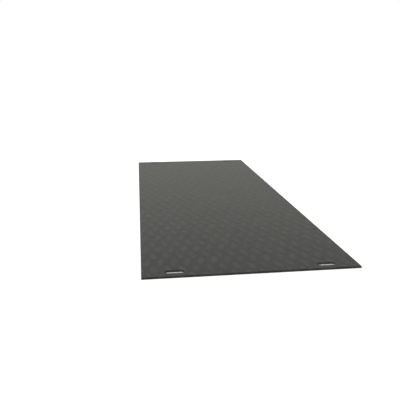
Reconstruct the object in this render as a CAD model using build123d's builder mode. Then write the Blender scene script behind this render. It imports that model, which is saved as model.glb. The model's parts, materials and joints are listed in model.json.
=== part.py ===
from build123d import *
import math
import os

# Ground protection mat: one moulded sheet of black polyethylene, lying on a level floor.
# Origin at the middle of the underside. +Y runs along the mat, +X across it, +Z up.
# All sizes are millimetres.

# Sheet
mat_width = 1200.0
mat_length = 3200.0
plate_thickness = 11.5
edge_chamfer = 1.0

# Hand slots, two at each short end, with their long axis across the mat
slot_length = 105.0
slot_width = 36.0
slot_end_margin = 40.0
slot_side_offset = 178.0
slot_rim_chamfer = 1.0

# Tread: almond pads in two leaning directions, on two lattices half a pitch apart
pad_length = 136.0
pad_width = 45.0
pad_height = 0.5
pad_lean = 10.0
tread_pitch_across = 75.8
tread_pitch_along = 199.0
tread_shift_along = -24.0
tread_edge_margin = 1.5
tread_slot_margin = 2.0

# Places worked out from the sizes above
slot_spacing_across = mat_width - 2 * slot_side_offset
slot_spacing_along = mat_length - 2 * slot_end_margin - slot_width
left_columns = 2 * math.ceil((mat_width / 2 + pad_width) / tread_pitch_across) - 1
left_rows = 2 * math.ceil((mat_length / 2 + pad_length / 2) / tread_pitch_along)

os.makedirs("parts", exist_ok=True)

# One almond pad, its long axis along the mat
with BuildSketch() as pad:
    with BuildLine():
        ThreePointArc((0, -pad_length / 2), (pad_width / 2, 0), (0, pad_length / 2))
        ThreePointArc((0, pad_length / 2), (-pad_width / 2, 0), (0, -pad_length / 2))
    make_face()

# Tread pattern: pads that lean left and pads that lean right, clipped to the sheet
with BuildSketch(Plane.XY.offset(plate_thickness)) as tread:
    with Locations((0, tread_shift_along)):
        with GridLocations(tread_pitch_across, tread_pitch_along, left_columns, left_rows):
            add(pad.sketch, rotation=pad_lean)
        with GridLocations(tread_pitch_across, tread_pitch_along, left_columns + 1, left_rows + 1):
            add(pad.sketch, rotation=-pad_lean)
    Rectangle(
        mat_width - 2 * tread_edge_margin,
        mat_length - 2 * tread_edge_margin,
        mode=Mode.INTERSECT,
    )
    with GridLocations(slot_spacing_across, slot_spacing_along, 2, 2):
        SlotOverall(
            slot_length + 2 * tread_slot_margin,
            slot_width + 2 * tread_slot_margin,
            mode=Mode.SUBTRACT,
        )

# The mat: sheet with its hand slots, chamfered edges and raised tread
with BuildPart() as ground_mat:
    with BuildSketch():
        Rectangle(mat_width, mat_length)
        with GridLocations(slot_spacing_across, slot_spacing_along, 2, 2):
            SlotOverall(slot_length, slot_width, mode=Mode.SUBTRACT)
    extrude(amount=plate_thickness)
    flat_faces = ground_mat.faces().filter_by(Axis.Z)
    outer_edges = ShapeList(edge for face in flat_faces for edge in face.outer_wire().edges())
    rim_edges = ShapeList(
        edge for face in flat_faces for wire in face.inner_wires() for edge in wire.edges()
    )
    chamfer(outer_edges, length=edge_chamfer)
    chamfer(rim_edges, length=slot_rim_chamfer)
    add(tread.sketch)
    extrude(amount=pad_height)

ground_mat.part.label = "ground_mat"
export_step(ground_mat.part, "parts/ground_mat.step")
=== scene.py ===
import json
import math
from collections import defaultdict

import bpy
import numpy as np
from mathutils import Matrix, Vector
from mathutils.geometry import delaunay_2d_cdt


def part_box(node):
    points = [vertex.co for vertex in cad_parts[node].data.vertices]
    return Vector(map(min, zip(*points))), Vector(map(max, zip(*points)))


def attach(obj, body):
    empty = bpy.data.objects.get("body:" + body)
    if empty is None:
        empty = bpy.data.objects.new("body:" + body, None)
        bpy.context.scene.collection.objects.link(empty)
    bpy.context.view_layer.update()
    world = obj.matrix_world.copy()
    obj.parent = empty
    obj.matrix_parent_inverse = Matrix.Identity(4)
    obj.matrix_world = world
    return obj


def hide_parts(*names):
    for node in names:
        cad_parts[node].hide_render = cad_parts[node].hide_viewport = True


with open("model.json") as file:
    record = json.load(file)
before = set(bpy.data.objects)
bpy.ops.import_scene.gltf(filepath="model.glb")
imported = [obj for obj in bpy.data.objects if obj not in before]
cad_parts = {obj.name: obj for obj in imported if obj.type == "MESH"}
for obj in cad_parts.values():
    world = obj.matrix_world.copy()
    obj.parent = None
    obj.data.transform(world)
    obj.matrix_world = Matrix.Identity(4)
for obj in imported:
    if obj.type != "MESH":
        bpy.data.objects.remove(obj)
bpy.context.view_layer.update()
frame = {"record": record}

# Looks of a ground protection mat: one moulded sheet of black polyethylene on a white floor.
# The mesh is laid out in millimetres and turned into metres when it is built.

MM = 0.001
NODE = "ground_mat"


# Sizes read from the frame

def hand_slot_mount():
    """The record's mount that describes the four hand slots."""
    return next(m for m in frame["record"]["mounts"] if m["name"] == "hand_slots")


LOW, HIGH = (Vector(corner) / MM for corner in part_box(NODE))
HALF_WIDTH = (HIGH.x - LOW.x) / 2
HALF_LENGTH = (HIGH.y - LOW.y) / 2
THICKNESS = HIGH.z - LOW.z
SLOT_MOUNT = hand_slot_mount()
PLATE_TOP = SLOT_MOUNT["pos_m"][2] / MM
SLOT_RADIUS = SLOT_MOUNT["dims"]["hole_r_mm"]
SLOT_STRAIGHT = SLOT_MOUNT["dims"]["slot_length_mm"] / 2 - SLOT_RADIUS
SLOT_X = SLOT_MOUNT["dims"]["spacing_x_mm"] / 2
SLOT_Y = SLOT_MOUNT["dims"]["spacing_y_mm"] / 2
SLOT_CENTRES = [(sx * SLOT_X, sy * SLOT_Y) for sx in (-1, 1) for sy in (-1, 1)]

# Tread: almond pads in two leaning directions, on two lattices half a pitch apart
PITCH_ACROSS = 75.8
PITCH_ALONG = 199.0
TREAD_SHIFT = (0.0, -24.0)
PAD_HALF_LENGTH = 68.0
PAD_HALF_WIDTH = 22.5
PAD_LEAN = math.radians(10.0)
PAD_HEIGHT = THICKNESS - PLATE_TOP
PAD_CROWN_POWER = 4.0
PAD_RINGS = (1.0, 0.93, 0.85, 0.75, 0.62, 0.42)
PAD_ARC_STEPS = 8

# Both kinds of pad: the lean, then the lattice's shift across and along, in pitches
HALF_PITCH = 0.5
LEANS_LEFT = (PAD_LEAN, 0.0, HALF_PITCH)
LEANS_RIGHT = (-PAD_LEAN, HALF_PITCH, 0.0)

# Rims of the sheet and of its slots: rounded, then plain, then the tread rises
EDGE_RADIUS = 1.0
EDGE_TURNS = (math.radians(45.0), math.radians(90.0))
TREAD_START = 2.5
SLOT_ARC_STEPS = 14

# Mesh: how close points are joined, and how near its outline a point counts as a pad's foot
SNAP = 0.001
FOOT_TOLERANCE = 0.004

# Plastic: colours of the moulding, its grooves, pads and walls, its slot walls painted lighter as
# painted light, its rubbed parts, its dust, and the painted shade in creases
MOULDING_COLOUR = (0.0205, 0.0205, 0.0190)
GROOVE_COLOUR = (0.0130, 0.0130, 0.0118)
PAD_COLOUR = (0.0255, 0.0255, 0.0236)
WALL_COLOUR = (0.0265, 0.0265, 0.0246)
SLOT_WALL_PAINTED_LIGHT_COLOUR = (0.0650, 0.0650, 0.0600)
RUBBED_COLOUR = (0.0600, 0.0600, 0.0570)
DUST_COLOUR = (0.0700, 0.0660, 0.0580)
CREASE_SHADE_COLOUR = (0.0060, 0.0060, 0.0056)

# Painted light: the tread's contrast is painted strongest at one corner and weaker farther off, with
# distances in metres
PAINTED_LIGHT_CORNER = (-0.6, -1.6, 0.0)
PAINTED_LIGHT_NEAR = 0.4
PAINTED_LIGHT_FAR = 1.6
PAINTED_LIGHT_LEAST = 0.42

# Wear and painted shade: the most that each layer covers, the width of a rubbed rim in metres, and
# the heights over the sheet, in millimetres, where the painted shade of a crease starts, is full,
# starts to fade and is gone
RIM_WIDTH = 0.0025
RIM_SHARE = 0.45
SCUFF_SHARE = 0.22
SCRATCH_SHARE = 0.30
DUST_SHARE = 0.08
CREASE_SHADE_SHARE = 0.35
CREASE_SHADE_RISE = (0.02, 0.06, 0.12, 0.25)

# Noise: scale in turns a metre, detail, the noise values between which a layer changes, and
# how far a layer is stretched along each axis or makes the colour lighter and darker
CLOUD_SCALE = 3.0
CLOUD_DETAIL = 3.0
CLOUD_LIMITS = (0.35, 0.65)
CLOUD_SHARE = 0.05
MOTTLE_SCALE = 26.0
MOTTLE_DETAIL = 4.0
MOTTLE_LIMITS = (0.3, 0.7)
MOTTLE_SHARE = 0.30
RIM_LIMITS = (0.4, 0.7)
SCUFF_SCALE = 9.0
SCUFF_DETAIL = 3.0
SCUFF_LIMITS = (0.52, 0.72)
SCUFF_STRETCH = (3.0, 1.0, 1.0)
SCRATCH_SCALE = 3.0
SCRATCH_DETAIL = 1.0
SCRATCH_LIMITS = (0.70, 0.74)
SCRATCH_STRETCH = (70.0, 1.0, 1.0)
SCRATCH_TURNS = (math.radians(4.0), math.radians(-17.0))
DUST_SCALE = 60.0
DUST_DETAIL = 3.0
DUST_LIMITS = (0.45, 0.75)

# Grain and gloss, with the depth of the grain in metres
GRAIN_SCALE = 700.0
GRAIN_DETAIL = 2.0
GRAIN_LIMITS = (0.3, 0.7)
GRAIN_STRENGTH = 0.25
GRAIN_DEPTH = 0.0002
ROUGHNESS = 0.44
ROUGHNESS_SPREAD = 0.04
SCRATCH_ROUGHNESS = 0.06
SPECULAR_LEVEL = 0.18

# The mix node's sockets for colours, by number because their names repeat, and a colour's alpha
MIX_FACTOR = 0
MIX_COLOURS = (6, 7)
MIX_RESULT = 2
OPAQUE = 1.0

# Stage, light and camera, in metres and radians, the lamp in watts and the sensor in millimetres
WHITE = (1.0, 1.0, 1.0)
FLOOR_SIZE = 60.0
FLOOR_DARK = (0.79, 0.79, 0.79)
FLOOR_LIGHT = (0.81, 0.81, 0.81)
FLOOR_SCALE = 1.5
FLOOR_DETAIL = 2.0
FLOOR_GLOW = 0.46
WORLD_LEVEL = 0.75
WORLD_TINT = (1.0, 1.0, 0.96)
LAMP_LEVEL = 60.0
LAMP_SIZE = 3.0
LAMP_PLACE = (-1.5, 0.5, 3.5)
SENSOR_WIDTH = 36.0
VIEW_ANGLE = math.radians(45.0)
CAMERA_PLACE = (-0.5859, -3.9227, 1.0579)
CAMERA_YAW = math.radians(7.2032)
CAMERA_PITCH = math.radians(15.2863)
CAMERA_ROLL = math.radians(0.0837)


# The mat's surface as a height over the floor

def almond_level(across, along):
    """1 on a pad's outline, 0 at its middle: the scale of the almond through a point."""
    length, width = PAD_HALF_LENGTH, PAD_HALF_WIDTH
    bulge = np.abs(across) * (length ** 2 - width ** 2) / (2 * width)
    return (bulge + np.sqrt(bulge ** 2 + length ** 2 * (across ** 2 + along ** 2))) / length ** 2


def tread_level(points):
    """Smallest almond level over all the pads, for points on the sheet."""
    level = np.full(len(points), np.inf)
    from_shift = points - np.array(TREAD_SHIFT)
    for lean, shift_x, shift_y in (LEANS_LEFT, LEANS_RIGHT):
        column = np.round(from_shift[:, 0] / PITCH_ACROSS - shift_x)
        row = np.round(from_shift[:, 1] / PITCH_ALONG - shift_y)
        y = from_shift[:, 1] - (row + shift_y) * PITCH_ALONG
        for beside in (-1, 0, 1):
            x = from_shift[:, 0] - (column + beside + shift_x) * PITCH_ACROSS
            across = x * math.cos(lean) + y * math.sin(lean)
            along = y * math.cos(lean) - x * math.sin(lean)
            level = np.minimum(level, almond_level(across, along))
    return level


def rim_distance(points):
    """Distance inwards from the nearest outline, of the sheet or of a slot."""
    away = np.minimum(HALF_WIDTH - np.abs(points[:, 0]), HALF_LENGTH - np.abs(points[:, 1]))
    beyond = np.maximum(np.abs(np.abs(points[:, 0]) - SLOT_X) - SLOT_STRAIGHT, 0.0)
    from_slot = np.hypot(beyond, np.abs(points[:, 1]) - SLOT_Y) - SLOT_RADIUS
    return np.maximum(np.minimum(away, from_slot), 0.0)


def tread_height(points):
    """Height of the tread over the sheet's flat top: domed pads that stop short of the rims."""
    dome = 1.0 - np.minimum(tread_level(points), 1.0) ** PAD_CROWN_POWER
    clear_of_rim = (rim_distance(points) - EDGE_RADIUS) / (TREAD_START - EDGE_RADIUS)
    return PAD_HEIGHT * dome * np.clip(clear_of_rim, 0.0, 1.0)


def edge_drop(points):
    """How far the rounded edge falls below the face it rounds."""
    over_edge = np.clip(EDGE_RADIUS - rim_distance(points), 0.0, EDGE_RADIUS)
    return EDGE_RADIUS - np.sqrt(EDGE_RADIUS ** 2 - over_edge ** 2)


# Outlines that the mesh follows

def sheet_outline(inset):
    """Corners of the sheet, drawn in by an inset."""
    x, y = HALF_WIDTH - inset, HALF_LENGTH - inset
    return [(-x, -y), (x, -y), (x, y), (-x, y)]


def slot_outline(centre, inset):
    """A slot's outline, drawn out into the sheet by an inset: each end is half a turn."""
    radius = SLOT_RADIUS + inset
    loop = []
    for side in (1, -1):
        for step in range(SLOT_ARC_STEPS + 1):
            turn = math.pi * (step / SLOT_ARC_STEPS - 0.5)
            x = side * (SLOT_STRAIGHT + radius * math.cos(turn))
            loop.append((centre[0] + x, centre[1] + side * radius * math.sin(turn)))
    return loop


def outlines(inset):
    """The outlines of the sheet and its slots at one distance in from them."""
    return [sheet_outline(inset)] + [slot_outline(centre, inset) for centre in SLOT_CENTRES]


def rounding_rings():
    """Rings along the rounded edge, without the outline itself."""
    insets = [EDGE_RADIUS * (1 - math.cos(turn)) for turn in EDGE_TURNS]
    return [ring for inset in insets for ring in outlines(inset)]


def pad_ring(centre, lean, level):
    """One almond ring of a pad."""
    length, width = PAD_HALF_LENGTH * level, PAD_HALF_WIDTH * level
    radius = (length ** 2 + width ** 2) / (2 * width)
    half_turn = math.asin(length / radius)
    loop = []
    for side in (1, -1):
        for step in range(PAD_ARC_STEPS):
            turn = side * half_turn * (2 * step / PAD_ARC_STEPS - 1)
            across = side * (radius * math.cos(turn) - radius + width)
            along = radius * math.sin(turn)
            x = across * math.cos(lean) - along * math.sin(lean)
            y = across * math.sin(lean) + along * math.cos(lean)
            loop.append((centre[0] + x, centre[1] + y))
    return loop


def pad_centres(shift_x, shift_y):
    """Centres of one lattice's pads, past the sheet's edges where a pad still reaches in."""
    columns = math.ceil(HALF_WIDTH / PITCH_ACROSS) + 1
    rows = math.ceil(HALF_LENGTH / PITCH_ALONG) + 1
    reach_x = HALF_WIDTH + PAD_HALF_WIDTH + PAD_HALF_LENGTH * math.sin(PAD_LEAN)
    reach_y = HALF_LENGTH + PAD_HALF_LENGTH
    centres = []
    for column in range(-columns, columns + 1):
        for row in range(-rows, rows + 1):
            x = (column + shift_x) * PITCH_ACROSS + TREAD_SHIFT[0]
            y = (row + shift_y) * PITCH_ALONG + TREAD_SHIFT[1]
            if abs(x) < reach_x and abs(y) < reach_y:
                centres.append((x, y))
    return centres


def tread_lines():
    """Rings and middles of all the pads."""
    rings, middles = [], []
    for lean, shift_x, shift_y in (LEANS_LEFT, LEANS_RIGHT):
        for centre in pad_centres(shift_x, shift_y):
            rings.extend(pad_ring(centre, lean, level) for level in PAD_RINGS)
            middles.append(centre)
    return rings, middles


# Mesh

def inner_faces(points, faces, walls):
    """The triangles that can be reached from the sheet's middle without crossing a wall."""
    beside = defaultdict(list)
    for number, (a, b, c) in enumerate(faces.tolist()):
        for edge in ((a, b), (b, c), (c, a)):
            beside[min(edge), max(edge)].append(number)
    first = int(np.argmin(np.hypot(*points[faces].mean(axis=1).T)))
    reached = np.zeros(len(faces), bool)
    reached[first] = True
    around = defaultdict(list)
    for edge, pair in beside.items():
        if edge not in walls and len(pair) == 2:
            around[pair[0]].append(pair[1])
            around[pair[1]].append(pair[0])
    waiting = [first]
    while waiting:
        for number in around[waiting.pop()]:
            if not reached[number]:
                reached[number] = True
                waiting.append(number)
    return faces[reached]


def triangulate(walls, rings, loose):
    """Points and triangles inside the wall loops, and where each wall point went."""
    points, edges = [], []
    for loop in walls + rings:
        first, size = len(points), len(loop)
        points.extend(loop)
        edges.extend((first + i, first + (i + 1) % size) for i in range(size))
    points.extend(loose)
    wall_size = sum(len(loop) for loop in walls)
    made = delaunay_2d_cdt([Vector(point) for point in points], edges, [], 0, SNAP)
    verts, joins, faces, point_sources, edge_sources, _ = made
    wall_edges = {
        (min(join), max(join))
        for join, sources in zip(joins, edge_sources)
        if any(source < wall_size for source in sources)
    }
    verts, faces = np.array([tuple(vert) for vert in verts]), np.array(faces)
    faces = inner_faces(verts, faces, wall_edges)
    used, faces = np.unique(faces, return_inverse=True)
    place = {old: new for new, old in enumerate(used.tolist())}
    wall_places = {
        source: place[number]
        for number, sources in enumerate(point_sources)
        for source in sources
        if source < wall_size
    }
    return verts[used], faces.reshape(-1, 3), wall_places


def rim_edges(faces):
    """Edges that only one triangle has, in that triangle's direction."""
    seen = {}
    for a, b, c in faces.tolist():
        for edge in ((a, b), (b, c), (c, a)):
            if seen.pop(edge[::-1], None) is None:
                seen[edge] = True
    return list(seen)


def closed_loops(edges):
    """Directed edges put in order, as one list of points for each closed loop."""
    after = dict(edges)
    loops = []
    while after:
        start, here = next(iter(after.items()))
        del after[start]
        loop = [start]
        while here != start:
            loop.append(here)
            here = after.pop(here)
        loops.append(loop)
    return loops


def mark_pad_feet(mesh, at_foot):
    """Sharp edges where both ends lie on the foot of a pad."""
    ends = np.empty(len(mesh.edges) * 2, dtype=np.int32)
    mesh.edges.foreach_get("vertices", ends)
    sharp = mesh.attributes.new("sharp_edge", "BOOLEAN", "EDGE")
    sharp.data.foreach_set("value", at_foot[ends.reshape(-1, 2)].all(axis=1))


def mat_mesh():
    """The whole mat as one closed mesh: tread, rounded rims, walls and flat underside."""
    pad_rings, pad_middles = tread_lines()
    top_rings = rounding_rings() + outlines(TREAD_START) + pad_rings
    top, top_faces, _ = triangulate(outlines(0.0), top_rings, pad_middles)
    rim = rim_edges(top_faces)
    loops = closed_loops(rim)
    walls = [[tuple(top[i]) for i in loop] for loop in loops]
    under, under_faces, wall_places = triangulate(walls, rounding_rings(), [])

    first_under = len(top)
    rim_order = [i for loop in loops for i in loop]
    below = {i: wall_places[k] + first_under for k, i in enumerate(rim_order)}
    faces = [tuple(face) for face in top_faces]
    faces += [tuple(face[::-1] + first_under) for face in under_faces]
    faces += [(b, a, below[a], below[b]) for a, b in rim]
    top_z = PLATE_TOP + tread_height(top) - edge_drop(top)
    upper = np.column_stack([top, top_z])
    lower = np.column_stack([under, edge_drop(under)])

    mesh = bpy.data.meshes.new("moulded_mat")
    mesh.from_pydata((np.vstack([upper, lower]) * MM).tolist(), [], faces)
    mesh.shade_smooth()
    at_foot = np.abs(tread_level(top) - 1.0) < FOOT_TOLERANCE
    mark_pad_feet(mesh, np.concatenate([at_foot, np.zeros(len(under), bool)]))
    return mesh


# Materials

def new_material(name):
    """An empty node material with its output node."""
    material = bpy.data.materials.new(name)
    material.use_nodes = True
    tree = material.node_tree
    tree.nodes.clear()
    return material, tree, tree.nodes.new("ShaderNodeOutputMaterial")


def noise(tree, coords, scale, detail):
    """Noise over the object's own coordinates, in metres."""
    node = tree.nodes.new("ShaderNodeTexNoise")
    node.inputs["Scale"].default_value = scale
    node.inputs["Detail"].default_value = detail
    tree.links.new(coords, node.inputs["Vector"])
    return node.outputs["Fac"]


def stretched(tree, coords, scales):
    """The coordinates scaled differently along each axis."""
    node = tree.nodes.new("ShaderNodeVectorMath")
    node.operation = "MULTIPLY"
    node.inputs[1].default_value = scales
    tree.links.new(coords, node.inputs[0])
    return node.outputs["Vector"]


def remap(tree, value, low, high, to_low=0.0, to_high=1.0):
    """A value taken from one range to another and kept inside it."""
    node = tree.nodes.new("ShaderNodeMapRange")
    names = ("From Min", "From Max", "To Min", "To Max")
    for name, number in zip(names, (low, high, to_low, to_high)):
        node.inputs[name].default_value = number
    tree.links.new(value, node.inputs["Value"])
    return node.outputs["Result"]


def math_node(tree, operation, first, second=0.0):
    """One sum on two sockets, on a socket and a number, or on one socket alone."""
    node = tree.nodes.new("ShaderNodeMath")
    node.operation = operation
    for place, value in enumerate((first, second)):
        if isinstance(value, float):
            node.inputs[place].default_value = value
        else:
            tree.links.new(value, node.inputs[place])
    return node.outputs["Value"]


def mix_colours(tree, factor, first, second):
    """Two colours, or a colour and a socket, mixed by a factor."""
    node = tree.nodes.new("ShaderNodeMix")
    node.data_type = "RGBA"
    tree.links.new(factor, node.inputs[MIX_FACTOR])
    for place, colour in zip(MIX_COLOURS, (first, second)):
        if isinstance(colour, tuple):
            node.inputs[place].default_value = (*colour, OPAQUE)
        else:
            tree.links.new(colour, node.inputs[place])
    return node.outputs[MIX_RESULT]


def raised_share(tree, height):
    """0 on the flat of the sheet, 1 on top of a pad."""
    return remap(tree, height, PLATE_TOP * MM, THICKNESS * MM)


def crease_shade_share(tree, height):
    """Painted shade: most on the foot of a pad's flank, and 0 below and above it."""
    start, full, still, gone = [(PLATE_TOP + rise) * MM for rise in CREASE_SHADE_RISE]
    below = remap(tree, height, start, full, 0.0, CREASE_SHADE_SHARE)
    above = remap(tree, height, still, gone, 1.0, 0.0)
    return math_node(tree, "MULTIPLY", below, above)


def tread_colour(tree, coords, height, from_slot):
    """Dark grooves and paler pads, with painted light making their contrast strongest near one
    corner, plain outer walls, slot walls painted lighter as painted light, and painted shade in the
    creases at the pads' feet.
    """
    away = tree.nodes.new("ShaderNodeVectorMath")
    away.operation = "DISTANCE"
    away.inputs[1].default_value = PAINTED_LIGHT_CORNER
    tree.links.new(coords, away.inputs[0])
    # Painted light: the tread's contrast is painted strongest near one corner and fades farther off
    painted_light = remap(tree, away.outputs["Value"], PAINTED_LIGHT_NEAR, PAINTED_LIGHT_FAR, 1.0, PAINTED_LIGHT_LEAST)
    grooves = mix_colours(tree, painted_light, MOULDING_COLOUR, GROOVE_COLOUR)
    pads = mix_colours(tree, painted_light, MOULDING_COLOUR, PAD_COLOUR)
    wall_top, sheet_start = (PLATE_TOP - EDGE_RADIUS) * MM, (PLATE_TOP - EDGE_RADIUS / 2) * MM
    # Painted light: the slot walls are painted lighter than the outer walls
    in_slot = remap(tree, from_slot, 0.0, EDGE_RADIUS * MM, 1.0, 0.0)
    walls = mix_colours(tree, in_slot, WALL_COLOUR, SLOT_WALL_PAINTED_LIGHT_COLOUR)
    sheet = mix_colours(tree, remap(tree, height, wall_top, sheet_start), walls, grooves)
    tread = mix_colours(tree, raised_share(tree, height), sheet, pads)
    # Painted shade: a near-black crease is painted at the foot of each pad
    return mix_colours(tree, crease_shade_share(tree, height), tread, CREASE_SHADE_COLOUR)


def outline_distances(tree, split):
    """Distance in from the sheet's outline, and out from the nearest slot's, in metres."""
    x = math_node(tree, "ABSOLUTE", split.outputs["X"])
    y = math_node(tree, "ABSOLUTE", split.outputs["Y"])
    side = math_node(tree, "SUBTRACT", HALF_WIDTH * MM, x)
    end = math_node(tree, "SUBTRACT", HALF_LENGTH * MM, y)
    along = math_node(tree, "ABSOLUTE", math_node(tree, "SUBTRACT", x, SLOT_X * MM))
    beyond = math_node(tree, "MAXIMUM", math_node(tree, "SUBTRACT", along, SLOT_STRAIGHT * MM))
    beside = math_node(tree, "SUBTRACT", y, SLOT_Y * MM)
    squares = [math_node(tree, "MULTIPLY", part, part) for part in (beyond, beside)]
    reach = math_node(tree, "SQRT", math_node(tree, "ADD", *squares))
    from_slot = math_node(tree, "SUBTRACT", reach, SLOT_RADIUS * MM)
    return math_node(tree, "MINIMUM", side, end), from_slot


def scratches(tree, coords):
    """Long thin drag marks in two directions, 1 along each mark."""
    marks = []
    for turn in SCRATCH_TURNS:
        rotate = tree.nodes.new("ShaderNodeVectorRotate")
        rotate.rotation_type = "Z_AXIS"
        rotate.inputs["Angle"].default_value = turn
        tree.links.new(coords, rotate.inputs["Vector"])
        drawn_out = stretched(tree, rotate.outputs["Vector"], SCRATCH_STRETCH)
        streaks = noise(tree, drawn_out, SCRATCH_SCALE, SCRATCH_DETAIL)
        marks.append(remap(tree, streaks, *SCRATCH_LIMITS))
    return math_node(tree, "MAXIMUM", *marks)


def drags_on_pads(tree, coords, raised):
    """The share of rubbed colour in the drag marks, on the pads only."""
    on_pads = math_node(tree, "MULTIPLY", scratches(tree, coords), raised)
    return math_node(tree, "MULTIPLY", on_pads, SCRATCH_SHARE)


def scuffs_on_pads(tree, coords, raised):
    """The share of rubbed colour in scuffed patches, which run along the mat over the pads."""
    rubs = noise(tree, stretched(tree, coords, SCUFF_STRETCH), SCUFF_SCALE, SCUFF_DETAIL)
    return math_node(tree, "MULTIPLY", raised, remap(tree, rubs, *SCUFF_LIMITS, 0.0, SCUFF_SHARE))


def rubbed_rims(tree, from_edge, from_slot, mottle):
    """The share of rubbed colour along the rims, uneven with the mottle."""
    nearest = math_node(tree, "MINIMUM", from_edge, from_slot)
    at_rim = remap(tree, nearest, 0.0, RIM_WIDTH, 1.0, 0.0)
    return math_node(tree, "MULTIPLY", at_rim, remap(tree, mottle, *RIM_LIMITS, 0.0, RIM_SHARE))


def dust_in_grooves(tree, coords, raised):
    """The share of dust, none of it on top of the pads."""
    patches = noise(tree, coords, DUST_SCALE, DUST_DETAIL)
    dust = remap(tree, patches, *DUST_LIMITS, 0.0, DUST_SHARE)
    return math_node(tree, "MULTIPLY", dust, math_node(tree, "SUBTRACT", 1.0, raised))


def unevenly_shaded(tree, coords, colour, mottle):
    """The colour made lighter and darker by soft clouds and by the mottle."""
    soft = noise(tree, coords, CLOUD_SCALE, CLOUD_DETAIL)
    clouds = remap(tree, soft, *CLOUD_LIMITS, -CLOUD_SHARE, CLOUD_SHARE)
    patches = remap(tree, mottle, *MOTTLE_LIMITS, -MOTTLE_SHARE, MOTTLE_SHARE)
    value = math_node(tree, "ADD", math_node(tree, "ADD", clouds, patches), 1.0)
    shade = tree.nodes.new("ShaderNodeHueSaturation")
    tree.links.new(value, shade.inputs["Value"])
    tree.links.new(colour, shade.inputs["Color"])
    return shade.outputs["Color"]


def grained_normal(tree, grain):
    """The surface's direction, roughened by the moulded grain."""
    bump = tree.nodes.new("ShaderNodeBump")
    bump.inputs["Strength"].default_value = GRAIN_STRENGTH
    bump.inputs["Distance"].default_value = GRAIN_DEPTH
    tree.links.new(grain, bump.inputs["Height"])
    return bump.outputs["Normal"]


def polyethylene():
    """Black recycled polyethylene: satin, finely grained, dusty in its grooves and rubbed on top."""
    material, tree, output = new_material("black_polyethylene")
    shader = tree.nodes.new("ShaderNodeBsdfPrincipled")
    coords = tree.nodes.new("ShaderNodeTexCoord").outputs["Object"]
    split = tree.nodes.new("ShaderNodeSeparateXYZ")
    tree.links.new(coords, split.inputs["Vector"])
    height = split.outputs["Z"]
    raised = raised_share(tree, height)
    mottle = noise(tree, coords, MOTTLE_SCALE, MOTTLE_DETAIL)
    grain = noise(tree, coords, GRAIN_SCALE, GRAIN_DETAIL)
    from_edge, from_slot = outline_distances(tree, split)

    colour = tread_colour(tree, coords, height, from_slot)
    colour = mix_colours(tree, dust_in_grooves(tree, coords, raised), colour, DUST_COLOUR)
    drags = drags_on_pads(tree, coords, raised)
    worn_pads = math_node(tree, "MAXIMUM", scuffs_on_pads(tree, coords, raised), drags)
    rims = rubbed_rims(tree, from_edge, from_slot, mottle)
    rubbed = math_node(tree, "MAXIMUM", worn_pads, rims)
    colour = mix_colours(tree, rubbed, colour, RUBBED_COLOUR)
    colour = unevenly_shaded(tree, coords, colour, mottle)
    tree.links.new(colour, shader.inputs["Base Color"])

    least, most = ROUGHNESS - ROUGHNESS_SPREAD, ROUGHNESS + ROUGHNESS_SPREAD
    rough = remap(tree, grain, *GRAIN_LIMITS, least, most)
    scored = math_node(tree, "MULTIPLY", drags, SCRATCH_ROUGHNESS / SCRATCH_SHARE)
    tree.links.new(math_node(tree, "ADD", rough, scored), shader.inputs["Roughness"])
    shader.inputs["Specular IOR Level"].default_value = SPECULAR_LEVEL
    tree.links.new(grained_normal(tree, grain), shader.inputs["Normal"])
    tree.links.new(shader.outputs["BSDF"], output.inputs["Surface"])
    return material


def seen_directly_or_in_gloss(tree):
    """1 for camera and glossy rays, 0 for the rays that light things."""
    path = tree.nodes.new("ShaderNodeLightPath")
    return math_node(tree, "MAXIMUM", path.outputs["Is Camera Ray"], path.outputs["Is Glossy Ray"])


def clear_of_mat(tree, coords):
    """1 on the floor round the mat, 0 under it and in its slots."""
    split = tree.nodes.new("ShaderNodeSeparateXYZ")
    tree.links.new(coords, split.inputs["Vector"])
    outside = []
    for axis, half in (("X", HALF_WIDTH), ("Y", HALF_LENGTH)):
        away = math_node(tree, "ABSOLUTE", split.outputs[axis])
        outside.append(math_node(tree, "GREATER_THAN", away, half * MM))
    return math_node(tree, "MAXIMUM", *outside)


def white_stage():
    """Pale floor that the camera and gloss see as white, with the mat's soft shadow kept."""
    material, tree, output = new_material("white_floor")
    coords = tree.nodes.new("ShaderNodeTexCoord").outputs["Object"]
    clouds = noise(tree, coords, FLOOR_SCALE, FLOOR_DETAIL)
    diffuse = tree.nodes.new("ShaderNodeBsdfDiffuse")
    tree.links.new(mix_colours(tree, clouds, FLOOR_DARK, FLOOR_LIGHT), diffuse.inputs["Color"])
    glow = tree.nodes.new("ShaderNodeEmission")
    lit = math_node(tree, "MULTIPLY", seen_directly_or_in_gloss(tree), clear_of_mat(tree, coords))
    tree.links.new(math_node(tree, "MULTIPLY", lit, FLOOR_GLOW), glow.inputs["Strength"])
    both = tree.nodes.new("ShaderNodeAddShader")
    tree.links.new(diffuse.outputs["BSDF"], both.inputs[0])
    tree.links.new(glow.outputs["Emission"], both.inputs[1])
    tree.links.new(both.outputs["Shader"], output.inputs["Surface"])
    return material


# Stage, light and camera

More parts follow.
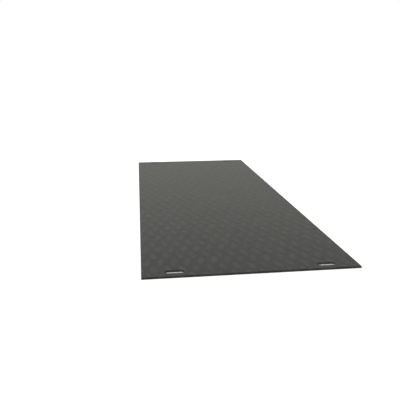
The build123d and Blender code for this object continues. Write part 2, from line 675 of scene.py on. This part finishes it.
def add_floor():
    """The white floor under the mat."""
    bpy.ops.mesh.primitive_plane_add(size=FLOOR_SIZE)
    floor = bpy.context.object
    floor.name = "floor"
    floor.data.materials.append(white_stage())


def add_world():
    """An even surround: a little warm as light, pure white to the camera."""
    world = bpy.data.worlds.new("white_studio")
    bpy.context.scene.world = world
    world.use_nodes = True
    tree = world.node_tree
    back = tree.nodes["Background"]
    level = remap(tree, seen_directly_or_in_gloss(tree), 0.0, 1.0, WORLD_LEVEL)
    tree.links.new(level, back.inputs["Strength"])
    to_camera = tree.nodes.new("ShaderNodeLightPath").outputs["Is Camera Ray"]
    tree.links.new(mix_colours(tree, to_camera, WORLD_TINT, WHITE), back.inputs["Color"])


def add_lamp():
    """One large softbox, high to the left."""
    data = bpy.data.lights.new("softbox", "AREA")
    data.energy = LAMP_LEVEL
    data.size = LAMP_SIZE
    lamp = bpy.data.objects.new("softbox", data)
    lamp.location = LAMP_PLACE
    lamp.rotation_euler = Vector(LAMP_PLACE).to_track_quat("Z", "Y").to_euler()
    bpy.context.collection.objects.link(lamp)


def add_camera():
    """The photo's camera, fitted to the mat's outline."""
    data = bpy.data.cameras.new("camera")
    data.sensor_width = SENSOR_WIDTH
    data.lens = SENSOR_WIDTH / 2 / math.tan(VIEW_ANGLE / 2)
    turn = Matrix.Rotation(-CAMERA_YAW, 3, "Z")
    tilt = Matrix.Rotation(math.pi / 2 - CAMERA_PITCH, 3, "X")
    roll = Matrix.Rotation(-CAMERA_ROLL, 3, "Z")
    camera = bpy.data.objects.new("camera", data)
    camera.location = CAMERA_PLACE
    camera.rotation_euler = (turn @ tilt @ roll).to_euler()
    bpy.context.collection.objects.link(camera)
    bpy.context.scene.camera = camera


def add_mat():
    """The mat's one moulded piece, in place of the plain solid."""
    mat = bpy.data.objects.new("moulded_mat", mat_mesh())
    bpy.context.collection.objects.link(mat)
    mat.data.materials.append(polyethylene())
    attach(mat, "root")
    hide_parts(NODE)


add_mat()
add_floor()
add_world()
add_lamp()
add_camera()
bpy.context.scene.view_settings.view_transform = "Standard"
